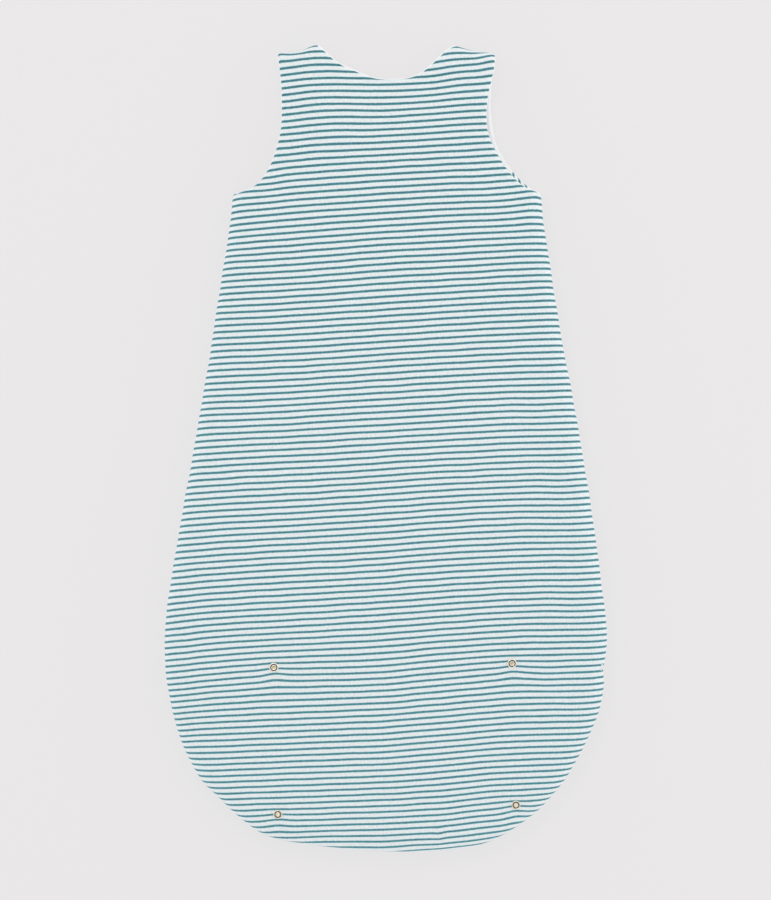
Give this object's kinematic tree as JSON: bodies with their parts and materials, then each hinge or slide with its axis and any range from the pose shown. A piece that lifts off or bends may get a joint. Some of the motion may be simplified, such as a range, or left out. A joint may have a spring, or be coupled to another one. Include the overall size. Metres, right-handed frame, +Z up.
{
  "type": "baby sleeping bag",
  "caption": "Sleeveless padded baby sleeping bag lying face down: flared body, rounded hem, front zip, and a hem that folds up and snaps onto the back to shorten it.",
  "frame": {"origin": "on the surface it lies on, under the middle of its length and width", "axes": "+X to the right seen from above the back, +Y towards the neck, +Z up out of the back panel; the front with the zip faces down"},
  "size_m": [0.494, 0.9, 0.0412],
  "materials": {
    "striped_velour": "soft velour, fine teal stripes on off-white",
    "wadding": "lofty polyester wadding",
    "lining_jersey": "matte cotton jersey",
    "zip_tape": "woven tape",
    "zip_plastic": "moulded, satin gloss",
    "slider_metal": "baked enamel",
    "snap_metal": "nickel plated, satin",
    "patch_felt": "felt reinforcement",
    "label_satin": "blank satin label"
  },
  "bodies": {
    "bag": {"back_shell": "striped_velour", "back_wadding": "wadding", "back_lining": "lining_jersey", "front_left_shell": "striped_velour", "front_right_shell": "striped_velour", "front_left_wadding": "wadding", "front_right_wadding": "wadding", "front_left_lining": "lining_jersey", "front_right_lining": "lining_jersey", "zip_tape_left": "zip_tape", "zip_tape_right": "zip_tape", "zip_teeth_left": "zip_plastic", "zip_teeth_right": "zip_plastic", "zip_top_stops": "zip_plastic", "zip_bottom_stop": "zip_plastic", "zip_underlap": "lining_jersey", "zip_garage": "striped_velour", "neck_label": "label_satin", "care_label": "label_satin", "snap_socket_left": "snap_metal", "snap_socket_right": "snap_metal", "snap_springs": "snap_metal", "prong_rings_upper": "snap_metal", "snap_patches_upper": "patch_felt"},
    "foot": {"foot_back_shell": "striped_velour", "foot_back_wadding": "wadding", "foot_back_lining": "lining_jersey", "foot_front_left_shell": "striped_velour", "foot_front_right_shell": "striped_velour", "foot_front_left_wadding": "wadding", "foot_front_right_wadding": "wadding", "foot_front_left_lining": "lining_jersey", "foot_front_right_lining": "lining_jersey", "snap_stud_left": "snap_metal", "snap_stud_right": "snap_metal", "prong_rings_lower": "snap_metal", "snap_patches_lower": "patch_felt"},
    "zip_slider": {"zip_slider_body": "slider_metal", "zip_slider_bridge": "slider_metal"},
    "zip_pull": {"zip_pull_tab": "slider_metal"}
  },
  "joints": [
    {"name": "foot_fold", "type": "hinge", "parent": "bag", "child": "foot", "pos_m": [0, -0.322, 0.04], "axis": [-0.9996, -0.0279, 0], "range_deg": [0, 180]},
    {"name": "zip_slide", "type": "slide", "parent": "bag", "child": "zip_slider", "axis": [0, -1, 0], "range_m": [0, 0.55]},
    {"name": "pull_swing", "type": "hinge", "parent": "zip_slider", "child": "zip_pull", "pos_m": [0, 0.3435, 0.0032], "axis": [1, 0, 0], "range_deg": [0, 150]}
  ]
}
